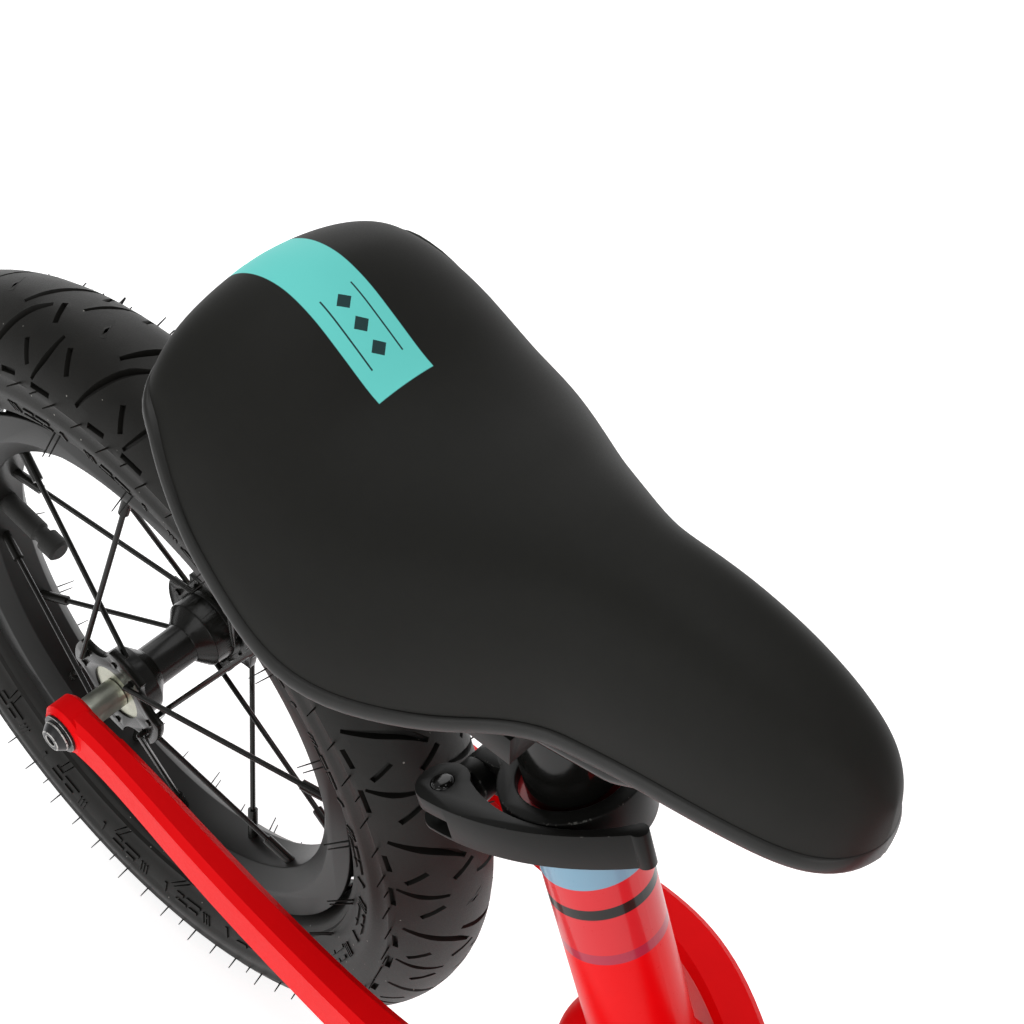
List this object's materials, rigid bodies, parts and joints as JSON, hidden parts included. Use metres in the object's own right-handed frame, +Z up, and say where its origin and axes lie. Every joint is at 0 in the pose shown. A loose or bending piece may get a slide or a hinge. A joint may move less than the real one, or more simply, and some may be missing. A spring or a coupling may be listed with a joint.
{
  "type": "balance bike",
  "caption": "Child's balance bike: low curved frame, spoked wheels with air tyres, padded saddle on a quick-release post, riser handlebar.",
  "frame": {"origin": "on the ground, midway between the two tyres, in the bike's middle plane", "axes": "+X forward, +Y to the rider's left, +Z up"},
  "size_m": [0.8599, 0.4146, 0.5293],
  "materials": {
    "red_paint": "satin",
    "black_alloy": "satin",
    "black_plastic": "matte",
    "post_black": "gloss",
    "fixing_steel": "black oxide",
    "zinc_steel": "satin",
    "hub_black": "gloss",
    "tyre_rubber": "matte",
    "soft_rubber": "matte",
    "saddle_cover": "matte, with a teal stripe"
  },
  "bodies": {
    "frame": {"main_tube": "red_paint", "head_tube": "red_paint", "seat_tube": "red_paint", "stay_left": "red_paint", "stay_right": "red_paint", "clamp_collar": "black_alloy", "clamp_skewer": "black_alloy", "clamp_nut": "black_alloy", "cam_washer": "black_plastic", "lever_pin": "black_alloy", "axle_rear": "zinc_steel", "axle_spacers_rear": "zinc_steel", "axle_washers_rear": "fixing_steel", "axle_bolts_rear": "fixing_steel", "headset_cups": "black_alloy", "headset_bearings": "zinc_steel"},
    "rear_wheel": {"tyre_rear": "tyre_rubber", "inner_tube_rear": "soft_rubber", "rim_rear": "hub_black", "hub_shell_rear": "hub_black", "bearings_rear": "zinc_steel", "spokes_rear": "hub_black", "nipples_rear": "hub_black", "valve_rear": "soft_rubber"},
    "fork": {"fork_crown": "red_paint", "steerer": "red_paint", "fork_leg_left": "red_paint", "fork_leg_right": "red_paint", "axle_front": "zinc_steel", "axle_spacers_front": "zinc_steel", "axle_washers_front": "fixing_steel", "axle_bolts_front": "fixing_steel", "headset_cover": "black_alloy", "headset_spacer": "black_alloy", "stem": "black_alloy", "stem_face_plate": "black_alloy", "stem_bolts": "fixing_steel", "top_cap": "black_alloy", "top_cap_bolt": "fixing_steel", "handlebar": "black_alloy", "grip_left": "soft_rubber", "grip_right": "soft_rubber"},
    "front_wheel": {"tyre_front": "tyre_rubber", "inner_tube_front": "soft_rubber", "rim_front": "hub_black", "hub_shell_front": "hub_black", "bearings_front": "zinc_steel", "spokes_front": "hub_black", "nipples_front": "hub_black", "valve_front": "soft_rubber"},
    "seatpost": {"seatpost": "post_black", "rail_clamp_lower": "black_alloy", "rail_clamp_upper": "black_alloy", "rail_clamp_bolt": "fixing_steel", "saddle_rails": "post_black", "saddle_base": "black_plastic", "saddle_cushion": "saddle_cover"},
    "lever": {"clamp_lever": "black_alloy"}
  },
  "joints": [
    {"name": "steering", "type": "hinge", "parent": "frame", "child": "fork", "pos_m": [0.16228, 0, 0.36129], "axis": [-0.3746, 0, 0.9272], "range_deg": [-90, 90]},
    {"name": "rear_wheel_spin", "type": "hinge", "parent": "frame", "child": "rear_wheel", "pos_m": [-0.28, 0, 0.15], "axis": [0, 1, 0], "continuous": true},
    {"name": "front_wheel_spin", "type": "hinge", "parent": "fork", "child": "front_wheel", "pos_m": [0.28, 0, 0.15], "axis": [0, 1, 0], "continuous": true},
    {"name": "seatpost_height", "type": "slide", "parent": "frame", "child": "seatpost", "axis": [-0.3322, 0, 0.9432], "range_m": [-0.02, 0.045]},
    {"name": "lever_open", "type": "hinge", "parent": "frame", "child": "lever", "pos_m": [-0.12073, -0.0224, 0.24082], "axis": [0.3322, 0, -0.9432], "range_deg": [0, 150]}
  ]
}
